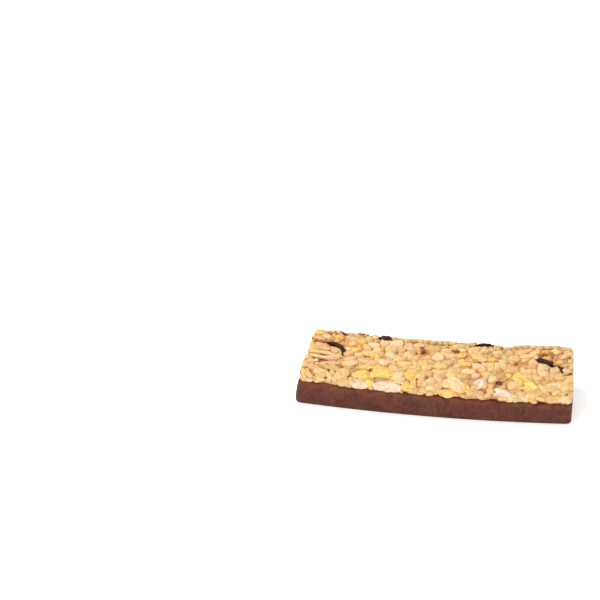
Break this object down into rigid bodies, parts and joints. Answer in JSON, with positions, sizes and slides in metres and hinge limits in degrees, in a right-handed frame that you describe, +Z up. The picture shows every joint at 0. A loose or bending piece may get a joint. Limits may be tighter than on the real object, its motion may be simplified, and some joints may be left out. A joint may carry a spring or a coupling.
{
  "type": "granola bar",
  "caption": "Oblong bar of crisped grain pressed with dried fruit and yoghurt pieces onto a layer of milk chocolate, slightly bowed in plan.",
  "frame": {"origin": "centre of the bar's box at the flat underside of the chocolate", "axes": "+X along the bar towards its upright end, +Y away from the side that bows out, +Z up out of the granola"},
  "size_m": [0.1, 0.0362, 0.0158],
  "materials": {
    "milk_chocolate": "milk chocolate, cut and slightly bloomed, soft sheen",
    "crisped_grain": "pale golden crisped grain under a thin dry syrup glaze",
    "dried_berry": "dark wrinkled dried fruit, slightly glossy",
    "dried_mango": "bright yellow dried fruit, slightly translucent",
    "yoghurt": "off-white yoghurt chip, waxy"
  },
  "bodies": {
    "root": {"chocolate_layer": "milk_chocolate", "granola": "crisped_grain", "dark_berry_1": "dried_berry", "dark_berry_2": "dried_berry", "dark_berry_3": "dried_berry", "dark_berry_4": "dried_berry", "dark_berry_5": "dried_berry", "mango_piece_1": "dried_mango", "mango_piece_2": "dried_mango", "yoghurt_chip_1": "yoghurt", "yoghurt_chip_2": "yoghurt", "yoghurt_chip_3": "yoghurt", "yoghurt_chip_4": "yoghurt"}
  },
  "joints": []
}
